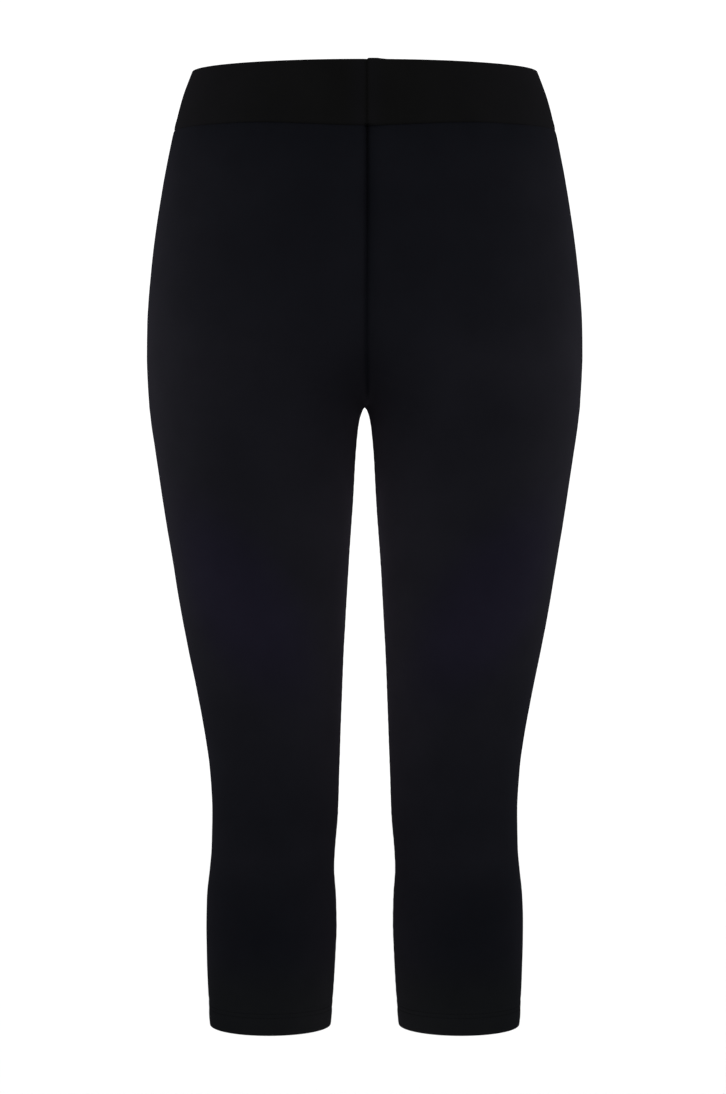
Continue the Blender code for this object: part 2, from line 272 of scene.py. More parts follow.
# Broad and finer undulations of the cloth: their height and how far apart they are.
BROAD_RISE, BROAD_APART = 0.28, 52.0
FINER_RISE, FINER_APART = 0.09, 15.0


def seam_relief(drops, travel, hand):
    """How far the cloth lies outside the form beside the centre seam and the inseam."""
    front = travel
    back = travel[:, -1:] - travel
    known = [groove.drop for groove in GROOVES]
    depth = np.interp(drops, known, [groove.depth for groove in GROOVES])
    fall = np.interp(drops, known, [groove.fall for groove in GROOVES])
    fall_reach = FALL_REACH if hand > 0 else GROOVE_REACH
    relief = -depth * np.exp(-((front / GROOVE_REACH) ** GROOVE_POWER))
    relief -= fall * np.exp(-((front / fall_reach) ** GROOVE_POWER))
    relief -= depth * np.exp(-((back / GROOVE_REACH) ** GROOVE_POWER))
    drift = PUCKER_DRIFT * np.sin(drops / PUCKER_DRIFT_BY)
    ripple = np.sin(math.tau * drops / PUCKER_PITCH + drift)
    relief += PUCKER_HEIGHT * ripple * np.exp(-((np.minimum(front, back) / PUCKER_REACH) ** 2))
    return relief


def surface_unevenness(points):
    """Broad, low undulation of jersey held over a form, the same on both sides of every seam."""
    flat = [
        BROAD_RISE * noise.noise(Vector(point) / BROAD_APART)
        + FINER_RISE * noise.noise(Vector(point) / FINER_APART)
        for point in points.reshape(-1, 3)
    ]
    return np.array(flat).reshape(points.shape[:2])


# Creases: hand 1 on the wearer's left and -1 on the right, the turn about the leg in degrees (-90 in
# front, 90 behind, 180 at the inseam), the drop, how they lean from level, their length and width,
# and the trough's depth. bow is how far the ends turn down.
Crease = namedtuple("Crease", "hand turn drop lean length width depth bow")
CREASES = (
    # behind the knees
    Crease(1, 119, 556, 11, 58, 5.4, 1.25, 4),
    Crease(1, 73, 567, -9, 64, 4.6, 1.20, -3),
    Crease(1, 101, 578, 3, 94, 6.0, 2.10, 6),
    Crease(1, 79, 596, 10, 68, 5.0, 1.35, 3),
    Crease(1, 121, 601, -12, 44, 4.8, 1.00, -3),
    Crease(-1, 85, 560, 8, 72, 5.2, 1.50, 3),
    Crease(-1, 112, 572, -6, 80, 5.8, 1.85, 5),
    Crease(-1, 69, 583, -11, 48, 4.4, 1.00, -3),
    Crease(-1, 97, 597, 5, 86, 5.6, 1.60, 4),
    Crease(-1, 124, 611, 9, 42, 4.6, 0.90, 2),
    # under the seat
    Crease(1, 112, 297, -7, 88, 8.0, 2.09, -9),
    Crease(1, 124, 316, -11, 54, 6.0, 1.04, -5),
    Crease(-1, 110, 300, -6, 80, 7.6, 1.90, -8),
    Crease(-1, 128, 322, -14, 60, 6.4, 1.14, -5),
    # from the crotch up and out, in front
    Crease(1, -128, 259, 24, 44, 5.0, 0.52, -3),
    Crease(1, -120, 281, 12, 36, 5.2, 0.39, -2),
    Crease(-1, -126, 262, 27, 40, 5.2, 0.55, -3),
    Crease(-1, -119, 285, 10, 30, 4.6, 0.36, -2),
    # small marks on the front of the thighs
    Crease(1, -112, 410, 8, 17, 2.6, 0.42, 1),
    Crease(-1, -114, 410, -6, 15, 2.6, 0.45, 1),
    # in front of the knees
    Crease(1, -84, 573, 3, 46, 6.0, 0.39, 4),
    Crease(1, -98, 596, -4, 38, 5.2, 0.31, 3),
    Crease(-1, -92, 580, -2, 50, 6.2, 0.42, 4),
    Crease(-1, -80, 604, 5, 34, 5.0, 0.29, 3),
    # small of the back
    Crease(1, 64, 78, -5, 92, 8.0, 1.00, 4),
    Crease(-1, 70, 86, 6, 84, 8.0, 0.90, 3),
    # above the hems, behind
    Crease(1, 84, 742, 4, 56, 6.0, 0.76, 3),
    Crease(-1, 98, 731, -5, 62, 6.4, 0.80, 3),
    Crease(-1, 62, 753, 3, 30, 4.6, 0.47, 2),
)
CREASE_ENDS = 0.55  # a crease's width at its ends, as a share of that at its middle
CREASE_LIP = 0.8  # how strongly the cloth rises on either side of a trough


def crease_relief(drops, travel, turn, hand):
    """How far the creases move the cloth: a soft trough with a low lip on either side."""
    relief = np.zeros(drops.shape)
    for crease in CREASES:
        if crease.hand != hand:
            continue
        rows = np.flatnonzero(np.abs(drops[:, 0] - crease.drop) < crease.length)
        for row in rows:
            middle = np.interp(math.radians(crease.turn), turn[row], travel[row])
            away = travel[row] - middle
            below = drops[row] - crease.drop
            lean = math.radians(crease.lean)
            along = (away * math.cos(lean) + below * math.sin(lean)) / (crease.length / 2)
            across = below * math.cos(lean) - away * math.sin(lean) - crease.bow * along**2
            fade = np.clip(1.0 - along**2, 0.0, 1.0) ** 1.5
            across = across / (crease.width * (CREASE_ENDS + (1.0 - CREASE_ENDS) * fade))
            trough = (1.0 - CREASE_LIP * across**2) * np.exp(-(across**2))
            relief[row] -= crease.depth * fade * trough
    return relief


# The cloth's own thickness, and how its edges turn in at the waist seam and under the hem. The hem
# is turned up inside and held by two rows of stitches, which pull it in; below them it puffs out.
JERSEY = 1.1
FOLDED_EDGE = 0.2  # the thickness that is left at the very edge of a fold
HEM_DEPTH = 20.0
HEM_CLOTH = 2.1
HEM_FOLD = 1.1
HEM_STEP = 0.6  # over which the cloth thickens to double
STITCH_HEIGHTS = (14.6, 17.8)  # above the folded edge
STITCH_PULL = 0.18
STITCH_PULL_REACH = 0.8
HEM_PUFF = 0.30
HEM_DENT = 0.25  # just above the hem's raw edge, where the cloth is single again
HEM_DENT_REACH = 1.2
HEM_DENT_HEIGHT = HEM_DEPTH + 1.0
WAIST_ROLL = 1.5
WAIST_ROLL_BY = 1.2
WAIST_ROLL_POWER = 1.2
WAIST_ROLL_SPARED = 0.65  # the share of the roll that is missing at the sides
WAIST_ROLL_SPARED_POWER = 8  # the higher, the narrower the place where it is missing

# The rows of a panel: these far below the waist seam, then crowded towards the crotch from above
# and below, and then at these heights above the hem's edge.
ROWS_BELOW_SEAM = np.array([0.0, 0.25, 0.6, 1.1, 1.8, 2.8, 4.2, 6.0])
HIP_ROWS = 92
HIP_ROWS_CROWD = 1.6
LEG_ROWS = 150
LEG_ROWS_CROWD = 1.15
HEM_HEIGHTS = np.concatenate([np.arange(21.0, 1.5, -0.55), (1.1, 0.75, 0.45, 0.2, 0.07, 0.0)])
EVEN_FROM_HEM = 25.0  # the undulation fades out over this height above the hem's edge


def round_fold(height, radius):
    """How far in a folded edge's surface lies at this height above the edge, as a share of radius."""
    share = np.clip(height / radius, 0.0, 1.0)
    return 1.0 - np.sqrt(1.0 - (1.0 - share) ** 2)


def waist_roll(from_seam, turn):
    """How far the cloth's edge turns in at the waist seam: less at the sides, where it is flatter."""
    spared = WAIST_ROLL_SPARED * np.maximum(np.cos(turn), 0.0) ** WAIST_ROLL_SPARED_POWER
    roll = WAIST_ROLL * (1.0 - spared)
    return roll * np.exp(-((from_seam / WAIST_ROLL_BY) ** WAIST_ROLL_POWER))


def hem_relief(height):
    """How far the hem's cloth lies outside the form, by the height above the folded edge."""
    relief = HEM_PUFF * np.sin(math.pi * np.clip(height / STITCH_HEIGHTS[0], 0.0, 1.0)) ** 1.5
    for stitch_height in STITCH_HEIGHTS:
        relief -= STITCH_PULL * np.exp(-(((height - stitch_height) / STITCH_PULL_REACH) ** 2))
    relief -= HEM_DENT * np.exp(-(((height - HEM_DENT_HEIGHT) / HEM_DENT_REACH) ** 2))
    return relief - HEM_FOLD * round_fold(height, HEM_FOLD)


def fold_thickness(height, cloth, radius):
    """How thick a folded cloth is at this height above its edge, which tapers to the edge itself."""
    return FOLDED_EDGE + (cloth - FOLDED_EDGE) * (1.0 - round_fold(height, radius))


def hem_thickness(height):
    turned_up = ease((HEM_DEPTH + HEM_STEP / 2 - height) / HEM_STEP)
    return fold_thickness(height, JERSEY + (HEM_CLOTH - JERSEY) * turned_up, HEM_FOLD)


# How much paler the jersey is painted, 0 at its darkest: partly because worn jersey is paler where
# it is stretched, and partly painted light, most in the painted rim of light along the inner edge,
# which below 0 turns to painted shade. Over the inner side of the leg, more along its edge and most
# in the narrow rim there, over its front and back, and on its outer side.
Stretch = namedtuple("Stretch", "drop inner edge inner_rim middle outer")
STRETCH_AND_PAINTED_LIGHT = (
    Stretch(48.0, 0.035, 0.00, 0.00, 0.012, 0.005),
    Stretch(90.0, 0.06, 0.00, 0.00, 0.056, 0.100),
    Stretch(150.0, 0.07, 0.00, 0.00, 0.072, 0.122),
    Stretch(195.0, 0.085, 0.02, 0.00, 0.087, 0.148),
    Stretch(230.0, 0.10, 0.04, 0.00, 0.115, 0.165),
    Stretch(275.0, 0.19, 0.33, 0.30, 0.133, 0.160),
    Stretch(290.0, 0.23, 0.43, 0.70, 0.138, 0.160),
    Stretch(323.0, 0.35, 0.53, 0.65, 0.148, 0.160),
    Stretch(350.0, 0.42, 0.54, 1.72, 0.152, 0.155),
    Stretch(380.0, 0.46, 0.57, 1.50, 0.147, 0.158),
    Stretch(413.0, 0.43, 0.60, 1.55, 0.142, 0.155),
    Stretch(447.0, 0.47, 0.66, 1.15, 0.142, 0.135),
    Stretch(480.0, 0.49, 0.42, 0.50, 0.150, 0.082),
    Stretch(520.0, 0.48, 0.34, 0.52, 0.135, 0.050),
    Stretch(570.0, 0.37, 0.24, 0.20, 0.102, 0.022),
    Stretch(612.0, 0.28, 0.16, 0.00, 0.072, 0.000),
    Stretch(645.0, 0.24, 0.12, -0.04, 0.092, 0.028),
    Stretch(672.0, 0.24, 0.11, 0.00, 0.030, 0.002),
    Stretch(710.0, 0.25, 0.12, -0.10, 0.002, 0.040),
    Stretch(750.0, 0.24, 0.10, -0.10, 0.045, 0.015),
    Stretch(HEM_DROP, 0.25, 0.00, 0.00, 0.070, 0.000),
)
EDGE_POWER = 4  # the higher, the closer to the inseam the edge and the rim keep
RIM_POWER = 12

# Beside the centre seam the cloth is painted darker, a painted shade in its groove, and over a wider
# strip where it falls towards the seam; the painted shade ends at the crotch.
SHADE_BESIDE_SEAM = 2.2
SHADE_BESIDE_FALL = 8.0
SHADE_FALL_FROM, SHADE_FALL_TO = 130.0, 250.0
SEAM_SHADE_ENDS = 16.0
CROTCH_LIGHT = 0.26  # painted light at the crotch, paler against the fork's shade, and how far that reaches
CROTCH_LIGHT_ROUND = 9.0
CROTCH_LIGHT_DOWN = 14.0

# Painted light on the front of each leg: the turn and drop of each spot, its reach round the leg
# and down it, and how much paler it is painted.
PaintedLightSpot = namedtuple("PaintedLightSpot", "turn drop round down amount")
PAINTED_LIGHT_SPOTS = (
    PaintedLightSpot(-76.0, 240.0, 42.0, 32.0, 0.054),
    PaintedLightSpot(-86.0, 444.0, 40.0, 54.0, 0.080),
)

# A painted violet sheen: an oval on each outer thigh, in front and behind, painted with a violet cast.
VIOLET_TURN = 75.0
VIOLET_DROP = 434.0
VIOLET_LEAN = 57.0  # of its long axis from level, down and inwards
VIOLET_LONG = 88.0
VIOLET_WIDE = 48.0
HEM_GREY = 0.6  # the colour near the hems is greyer, the opposite of violet
HEM_GREY_FROM, HEM_GREY_TO = 715.0, 765.0


Panel = namedtuple("Panel", "hand outer inner normals drops travel stretch violet crotch_row")


def leg_panel(hand):
    """One leg's cloth, from the waist seam to the hem."""
    top = WAIST_SEAM_DROP + ROWS_BELOW_SEAM
    hip = 1.0 - (1.0 - np.arange(1, HIP_ROWS + 1) / HIP_ROWS) ** HIP_ROWS_CROWD
    leg = (np.arange(1, LEG_ROWS) / LEG_ROWS) ** LEG_ROWS_CROWD
    hem_start = HEM_DROP - HEM_HEIGHTS[0]
    rows = np.concatenate(
        [
            top,
            top[-1] + hip * (CROTCH_DROP - top[-1]),
            CROTCH_DROP + leg * (hem_start - CROTCH_DROP),
            HEM_DROP - HEM_HEIGHTS,
        ]
    )
    crotch_row = len(top) + HIP_ROWS - 1
    drops = np.repeat(rows[:, None], HALF.x.shape[1], axis=1)
    fading = np.clip((CROTCH_DROP - drops) / (CROTCH_DROP - WAIST_SEAM_DROP), 0.0, 1.0)
    from_seam = drops - top[0]
    drops = drops + waist_seam_dip(drops) * fading
    travel, turn = read_form(HALF.travel, drops), read_form(HALF.turn, drops)
    points = place_points(drops, hand)
    normals = outward(points, hand, crotch_row)
    height = HEM_DROP - drops
    relief = seam_relief(drops, travel, hand) + crease_relief(drops, travel, turn, hand)
    relief += surface_unevenness(points) * ease(height / EVEN_FROM_HEM)
    relief += np.where(height < HEM_HEIGHTS[0] + 2, hem_relief(height), 0.0)
    relief -= waist_roll(from_seam, turn)
    outer = points + normals * relief[..., None]
    inner = outer - normals * hem_thickness(height)[..., None]
    keep_to_own_side(inner[:crotch_row], drops[:crotch_row], hand)
    stretch = stretch_and_painted_light_at(drops, travel, turn, hand)
    violet = painted_violet_sheen(drops, travel, turn)
    return Panel(hand, outer, inner, normals, drops, travel, stretch, violet, crotch_row)


def from_turn(degrees, travel, turn):
    """How far round the leg each point lies from this turn."""
    middle = [np.interp(math.radians(degrees), *row) for row in zip(turn, travel)]
    return travel - np.array(middle)[:, None]


def stretch_and_painted_light_at(drops, travel, turn, hand):
    """How much paler each point is painted, for stretching and for painted light: less where shade is
    painted beside the centre seam, more with painted light at the crotch.
    """
    inner, edge, inner_rim, middle, outer = [
        np.interp(drops, [row.drop for row in STRETCH_AND_PAINTED_LIGHT], [row[place] for row in STRETCH_AND_PAINTED_LIGHT])
        for place in range(1, len(Stretch._fields))
    ]
    side = np.cos(turn)
    inside = np.minimum(side, 0.0) ** 2
    outside = np.maximum(side, 0.0) ** 2
    stretch = middle * (1.0 - side**2) + outer * outside + inner * inside
    # The edge and the narrow rim along the inseam are a painted rim of light, and painted shade where
    # the rim's value is below 0.
    stretch += edge * inside**EDGE_POWER + inner_rim * inside**RIM_POWER
    front, back = travel, travel[:, -1:] - travel
    # Painted shade in the centre seam's groove, and on the wearer's left over its fall as well.
    seam_shade = np.exp(-((np.minimum(front, back) / SHADE_BESIDE_SEAM) ** 2))
    if hand > 0:
        falling = 1.0 - ease((drops - SHADE_FALL_FROM) / (SHADE_FALL_TO - SHADE_FALL_FROM))
        seam_shade = np.maximum(seam_shade, falling * np.exp(-((front / SHADE_BESIDE_FALL) ** 2)))
    stretch *= 1.0 - seam_shade * ease((CROTCH_DROP - drops) / SEAM_SHADE_ENDS)
    # Painted light at the crotch, against the shade of the fork.
    crotch = np.minimum(front, back) / CROTCH_LIGHT_ROUND
    stretch += CROTCH_LIGHT * np.exp(-(crotch**2) - ((drops - CROTCH_DROP) / CROTCH_LIGHT_DOWN) ** 2)
    # Painted light on the fronts of the legs.
    for lit_spot in PAINTED_LIGHT_SPOTS:
        away = from_turn(lit_spot.turn, travel, turn) / lit_spot.round
        stretch += lit_spot.amount * np.exp(-(away**2) - ((drops - lit_spot.drop) / lit_spot.down) ** 2)
    return np.maximum(stretch, 0.0)


def painted_violet_sheen(drops, travel, turn):
    """1 over the flat-topped ovals of painted violet sheen, and less than 0 at the hems, which are
    greyer.
    """
    violet = np.zeros(drops.shape)
    lean = math.radians(VIOLET_LEAN)
    below = drops - VIOLET_DROP
    for hand in (-1, 1):
        outwards = -hand * from_turn(hand * VIOLET_TURN, travel, turn)
        along = (below * math.sin(lean) - outwards * math.cos(lean)) / VIOLET_LONG
        across = (below * math.cos(lean) + outwards * math.sin(lean)) / VIOLET_WIDE
        violet = np.maximum(violet, np.exp(-((along**2 + across**2) ** 2)))
    return violet - HEM_GREY * ease((drops - HEM_GREY_FROM) / (HEM_GREY_TO - HEM_GREY_FROM))


def keep_to_own_side(points, drops, hand):
    """Move points that have passed the centre seam back to it."""
    seam = seam_plane(points[..., 1], drops)
    points[..., 0] = hand * np.maximum(hand * points[..., 0], hand * seam)


def cloth_object(name, panel, material):
    """One closed mesh between a panel's outer and inner points, with a UV map in metres of cloth,
    u round the body and v down it. From the crotch down the first and last column are one."""
    rows, columns = panel.drops.shape
    numbers = np.arange(rows * columns).reshape(rows, columns)
    numbers[panel.crotch_row :, -1] = numbers[panel.crotch_row :, 0]
    row, column = np.mgrid[0 : rows - 1, 0 : columns - 1].reshape(2, -1)
    corners = [(row, column), (row, column + 1), (row + 1, column + 1), (row + 1, column)]
    grid = np.stack([numbers[place] for place in corners], axis=1)
    flat = np.stack([panel.travel[place] for place in corners], axis=1)
    down = np.stack([panel.drops[place] for place in corners], axis=1)
    faces = [grid, grid[:, ::-1] + rows * columns]
    uvs = [np.dstack([flat, down]), np.dstack([flat, down])[:, ::-1]]
    seamed = np.arange(min(panel.crotch_row + 1, rows))
    rims = [
        (np.zeros(columns, int), np.arange(columns), False),
        (np.full(columns, rows - 1), np.arange(columns), True),
        (seamed, np.zeros(len(seamed), int), True),
        (seamed, np.full(len(seamed), columns - 1), False),
    ]
    for rim_row, rim_column, turned in rims:
        rim = (rim_row, rim_column)
        line = numbers[rim]
        behind = line + rows * columns
        place = np.stack([panel.travel[rim], panel.drops[rim]], axis=1)
        quads = np.stack([line[1:], line[:-1], behind[:-1], behind[1:]], axis=1)
        spots = np.stack([place[1:], place[:-1], place[:-1], place[1:]], axis=1)
        faces.append(quads[:, ::-1] if turned else quads)
        uvs.append(spots[:, ::-1] if turned else spots)
    faces, uvs = np.concatenate(faces), np.concatenate(uvs)
    if panel.hand > 0:
        faces, uvs = faces[:, ::-1], uvs[:, ::-1]
    points = np.concatenate([panel.outer.reshape(-1, 3), panel.inner.reshape(-1, 3)]) * MM
    used, faces = np.unique(faces, return_inverse=True)
    data = bpy.data.meshes.new(name)
    data.from_pydata(points[used].tolist(), [], faces.reshape(-1, 4).tolist())
    data.uv_layers.new(name="Cloth").data.foreach_set("uv", uvs.reshape(-1) * MM)
    for colour_field in ("stretch", "violet"):
        values = np.concatenate([getattr(panel, colour_field).reshape(-1)] * 2)[used]
        data.attributes.new(colour_field, "FLOAT", "POINT").data.foreach_set("value", values)
    data.shade_smooth()
    data.materials.append(material)
    piece = bpy.data.objects.new(name, data)
    bpy.context.scene.collection.objects.link(piece)
    return piece


def add_node(tree, kind, inputs=(), **settings):
    """A node whose inputs are given as values or as sockets to link."""
    node = tree.nodes.new(kind)
    for name, value in settings.items():
        setattr(node, name, value)
    for name, value in dict(inputs).items():
        if isinstance(value, bpy.types.NodeSocket):
            tree.links.new(value, node.inputs[name])
        else:
            node.inputs[name].default_value = value
    return node


def maths(tree, operation, *values):
    return add_node(tree, "ShaderNodeMath", enumerate(values), operation=operation).outputs[0]


LOOP_SLANT = 0.7  # of a course, by which the legs of each V rise from its middle
LOOP_RIPPLE = 0.3  # how far the loops' height swings along a leg of the V


def knit_group():
    """The face of plain jersey: columns of small Vs. Height is 0 between the loops and 1 on them."""
    group = bpy.data.node_groups.new("jersey_loops", "ShaderNodeTree")
    group.interface.new_socket("Cloth", in_out="INPUT", socket_type="NodeSocketVector")
    group.interface.new_socket("Wale", in_out="INPUT", socket_type="NodeSocketFloat")
    group.interface.new_socket("Course", in_out="INPUT", socket_type="NodeSocketFloat")
    group.interface.new_socket("Height", in_out="OUTPUT", socket_type="NodeSocketFloat")
    given = group.nodes.new("NodeGroupInput").outputs
    place = add_node(group, "ShaderNodeSeparateXYZ", {"Vector": given["Cloth"]}).outputs
    wale = maths(group, "FRACT", maths(group, "DIVIDE", place["X"], given["Wale"]))
    course = maths(group, "DIVIDE", place["Y"], given["Course"])
    off_middle = maths(group, "ABSOLUTE", maths(group, "SUBTRACT", wale, 0.5))
    from_middle = maths(group, "MULTIPLY", off_middle, 2.0)
    off_leg = maths(group, "SUBTRACT", maths(group, "MULTIPLY", from_middle, 2.0), 1.0)
    leg = maths(group, "SUBTRACT", 1.0, maths(group, "MULTIPLY", off_leg, off_leg))
    slanted = maths(group, "ADD", course, maths(group, "MULTIPLY", from_middle, LOOP_SLANT))
    wave = maths(group, "COSINE", maths(group, "MULTIPLY", slanted, math.tau))
    loop = maths(group, "MULTIPLY_ADD", wave, LOOP_RIPPLE, 1.0 - LOOP_RIPPLE)
    height = maths(group, "MULTIPLY", leg, loop)
    out = group.nodes.new("NodeGroupOutput")
    group.links.new(height, out.inputs["Height"])
    return group


def mottle_group():
    """Soft, uneven patches from 0 to 1, as dye and light handling leave on plain cloth."""
    group = bpy.data.node_groups.new("soft_mottle", "ShaderNodeTree")
    group.interface.new_socket("Size", in_out="INPUT", socket_type="NodeSocketFloat")
    group.interface.new_socket("Shade", in_out="OUTPUT", socket_type="NodeSocketFloat")
    given = group.nodes.new("NodeGroupInput").outputs
    spot = add_node(group, "ShaderNodeNewGeometry").outputs["Position"]
    finer = maths(group, "DIVIDE", 1.0, given["Size"])
    cloud = add_node(
        group, "ShaderNodeTexNoise", {"Vector": spot, "Scale": finer, "Detail": 3.0, "Roughness": 0.55}
    ).outputs["Fac"]
    shade = add_node(
        group, "ShaderNodeMapRange", {"Value": cloud, "From Min": 0.3, "From Max": 0.7}
    ).outputs["Result"]
    out = group.nodes.new("NodeGroupOutput")
    group.links.new(shade, out.inputs["Shade"])
    return group


JERSEY_LOOPS = knit_group()
SOFT_MOTTLE = mottle_group()

Cloth = namedtuple("Cloth", "name slack stretched roughness sheen sheen_tint wale course bump")
VIOLET_CAST = (-0.05, -0.12, 0.17)  # how the painted violet sheen changes red, green and blue
BETWEEN_LOOPS = 0.68  # the colour's strength there, painted darker as shade, and what the loops and the patches add to it
LOOP_SHADE = 0.6
PATCH_SHADE = 0.14
PATCH_SIZE = 0.045  # metres


def cloth_material(cloth):
    """Knitted cloth, painted paler for stretching and for painted light, and darker for painted shade.
    Its loops emboss it, with painted shade between them, and soft patches vary its colour."""
    material = bpy.data.materials.new(cloth.name)
    material.use_nodes = True
    tree = material.node_tree
    shader = tree.nodes["Principled BSDF"]
    loops = add_node(tree, "ShaderNodeGroup", node_tree=JERSEY_LOOPS)
    map_of_cloth = add_node(tree, "ShaderNodeUVMap", uv_map="Cloth").outputs["UV"]
    tree.links.new(map_of_cloth, loops.inputs["Cloth"])
    loops.inputs["Wale"].default_value = cloth.wale * MM
    loops.inputs["Course"].default_value = cloth.course * MM
    patches = add_node(tree, "ShaderNodeGroup", node_tree=SOFT_MOTTLE)
    patches.inputs["Size"].default_value = PATCH_SIZE
    stretch = add_node(tree, "ShaderNodeAttribute", attribute_name="stretch").outputs["Fac"]
    # From the darkest to the palest colour and on past either end: for stretching, and for painted
    # light and painted shade.
    colour = add_node(tree, "ShaderNodeMix", data_type="RGBA", clamp_factor=False)
    tree.links.new(stretch, colour.inputs["Factor"])
    colour.inputs["A"].default_value = (*cloth.slack, 1.0)
    colour.inputs["B"].default_value = (*cloth.stretched, 1.0)
    # Shade is painted between the loops, which are paler.
    on_loops = maths(tree, "MULTIPLY_ADD", loops.outputs["Height"], LOOP_SHADE, BETWEEN_LOOPS)
    shade = maths(tree, "MULTIPLY_ADD", patches.outputs["Shade"], PATCH_SHADE, on_loops)
    # The painted violet sheen, which turns greyer near the hems.
    violet = add_node(tree, "ShaderNodeAttribute", attribute_name="violet").outputs["Fac"]
    plain = (1.0, 1.0, 1.0)
    cast_inputs = enumerate([violet, VIOLET_CAST, plain])
    cast = add_node(tree, "ShaderNodeVectorMath", cast_inputs, operation="MULTIPLY_ADD")
    tinted = add_node(tree, "ShaderNodeVectorMath", operation="MULTIPLY")
    tree.links.new(colour.outputs["Result"], tinted.inputs[0])
    tree.links.new(cast.outputs["Vector"], tinted.inputs[1])
    shaded = add_node(tree, "ShaderNodeVectorMath", operation="SCALE")
    tree.links.new(tinted.outputs["Vector"], shaded.inputs["Vector"])
    tree.links.new(shade, shaded.inputs["Scale"])
    emboss = add_node(tree, "ShaderNodeBump", {"Height": loops.outputs["Height"]})
    emboss.inputs["Strength"].default_value = 0.35
    emboss.inputs["Distance"].default_value = cloth.bump * MM
    tree.links.new(shaded.outputs["Vector"], shader.inputs["Base Color"])
    tree.links.new(emboss.outputs["Normal"], shader.inputs["Normal"])
    shader.inputs["Roughness"].default_value = cloth.roughness
    shader.inputs["Specular IOR Level"].default_value = 0.0
    shader.inputs["Sheen Weight"].default_value = cloth.sheen
    shader.inputs["Sheen Roughness"].default_value = 0.45
    shader.inputs["Sheen Tint"].default_value = (*cloth.sheen_tint, 1.0)
    return material


black_jersey = cloth_material(
    Cloth(
        "black_jersey",
        slack=(0.0037, 0.0040, 0.0054),
        stretched=(0.0222, 0.0204, 0.0266),
        roughness=0.85,
        sheen=0.009,
        sheen_tint=(0.85, 0.80, 1.0),
        wale=0.50,
        course=0.42,
        bump=0.06,
    )
)

legs = {}
for side, hand in (("left", 1), ("right", -1)):
    legs[side] = leg_panel(hand)
    leg = cloth_object(f"leg_panel_{side}", legs[side], black_jersey)
    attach(leg, "root")
    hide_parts(f"leg_{side}")


# ==================================================================================================
# The waistband. A strip of heavier elasticated jersey is folded double along its top edge, joined
# into a ring at the centre front and back, and sewn to the legs. At the front its seam allowances
# are pressed to the wearer's left, where they show as a low ridge that stands a little taller.
# ==================================================================================================
BAND = 2.6
BAND_FOLD = 0.8
ALLOWANCE_WIDTH = 12.0
ALLOWANCE_RISE = 0.5
ALLOWANCE_TALLER = 0.8
ALLOWANCE_TALLER_TO = 5.0  # the drop by which the ridge's extra height is gone
RIDGE_START = 1.2  # over which the ridge rises at the seam, and over which it ends
RIDGE_END = 1.4
RIDGE_HIGHLIGHT = 0.6  # a painted highlight: how much paler the raised ridge is painted, and how far from the seam that begins
RIDGE_HIGHLIGHT_FROM = 2.0

# Rows run down the band, close together at the fold and the seam. The places are shares of its
# height, and so are those of its profile, which has a hollow above the turned-up seam.
FOLD_SHARES = (0.0, 0.001, 0.004, 0.009, 0.016, 0.026)
SEAM_SHARES = (0.95, 0.965, 0.978, 0.988, 0.995, 1.0)
BAND_SHARES = np.concatenate([FOLD_SHARES, np.linspace(0.04, 0.93, 40), SEAM_SHARES])
BAND_PROFILE_SHARES = (0.0, 0.10, 0.40, 0.70, 0.79, 0.90, 1.0)
BAND_PROFILE = (-0.10, 0.0, 0.0, -0.22, -0.30, 0.0, -0.05)


def band_half(hand):
    """Half the waistband, with the allowances' ridge on the wearer's left."""
    shares = np.repeat(BAND_SHARES[:, None], HALF.x.shape[1], axis=1)
    dip = waist_seam_dip(shares * WAIST_SEAM_DROP)
    drops = shares * (WAIST_SEAM_DROP + dip)
    travel = read_form(HALF.travel, drops)
    points = place_points(drops, hand)
    no_crotch = len(BAND_SHARES)
    normals = outward(points, hand, no_crotch)
    from_seam = (1.0 - shares) * WAIST_SEAM_DROP
    relief = seam_relief(drops, travel, hand) + surface_unevenness(points)
    relief += np.interp(shares, BAND_PROFILE_SHARES, BAND_PROFILE)
    turn = read_form(HALF.turn, drops)
    relief -= waist_roll(from_seam, turn)
    relief -= BAND_FOLD * round_fold(drops, BAND_FOLD)
    if hand > 0:
        ended = ease((travel - ALLOWANCE_WIDTH + RIDGE_END / 2) / RIDGE_END)
        ridge = ease(travel / RIDGE_START) * (1.0 - ended)
        relief += ALLOWANCE_RISE * ridge
        points[..., 2] += ALLOWANCE_TALLER * ridge * (1.0 - ease(drops / ALLOWANCE_TALLER_TO))
    outer = points + normals * relief[..., None]
    inner = outer - normals * fold_thickness(drops, BAND, BAND_FOLD)[..., None]
    keep_to_own_side(inner, drops, hand)
    on_ridge = np.exp(-((travel / ALLOWANCE_WIDTH) ** 4))
    off_seam = 1.0 - np.exp(-((travel / RIDGE_HIGHLIGHT_FROM) ** 2))
    # The band is painted paler on its outer sides, partly for stretching and partly as painted light,
    # and on the ridge as a painted highlight.
    stretch = np.maximum(np.cos(turn), 0.0) ** 2 + RIDGE_HIGHLIGHT * on_ridge * off_seam
    plain = np.zeros(drops.shape)
    return Panel(hand, outer, inner, normals, drops, travel, stretch, plain, no_crotch)


black_elastic = cloth_material(
    Cloth(
        "black_elastic",
        slack=(0.0041, 0.0041, 0.0041),
        stretched=(0.0047, 0.0046, 0.0054),
        roughness=0.90,
        sheen=0.004,
        sheen_tint=(0.9, 0.88, 1.0),
        wale=0.46,
        course=0.40,
        bump=0.05,
    )
)

bands = {}
for side, hand in (("left", 1), ("right", -1)):
    bands[side] = band_half(hand)
    band = cloth_object(f"band_{side}", bands[side], black_elastic)
    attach(band, "root")
    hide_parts(f"waistband_{side}")


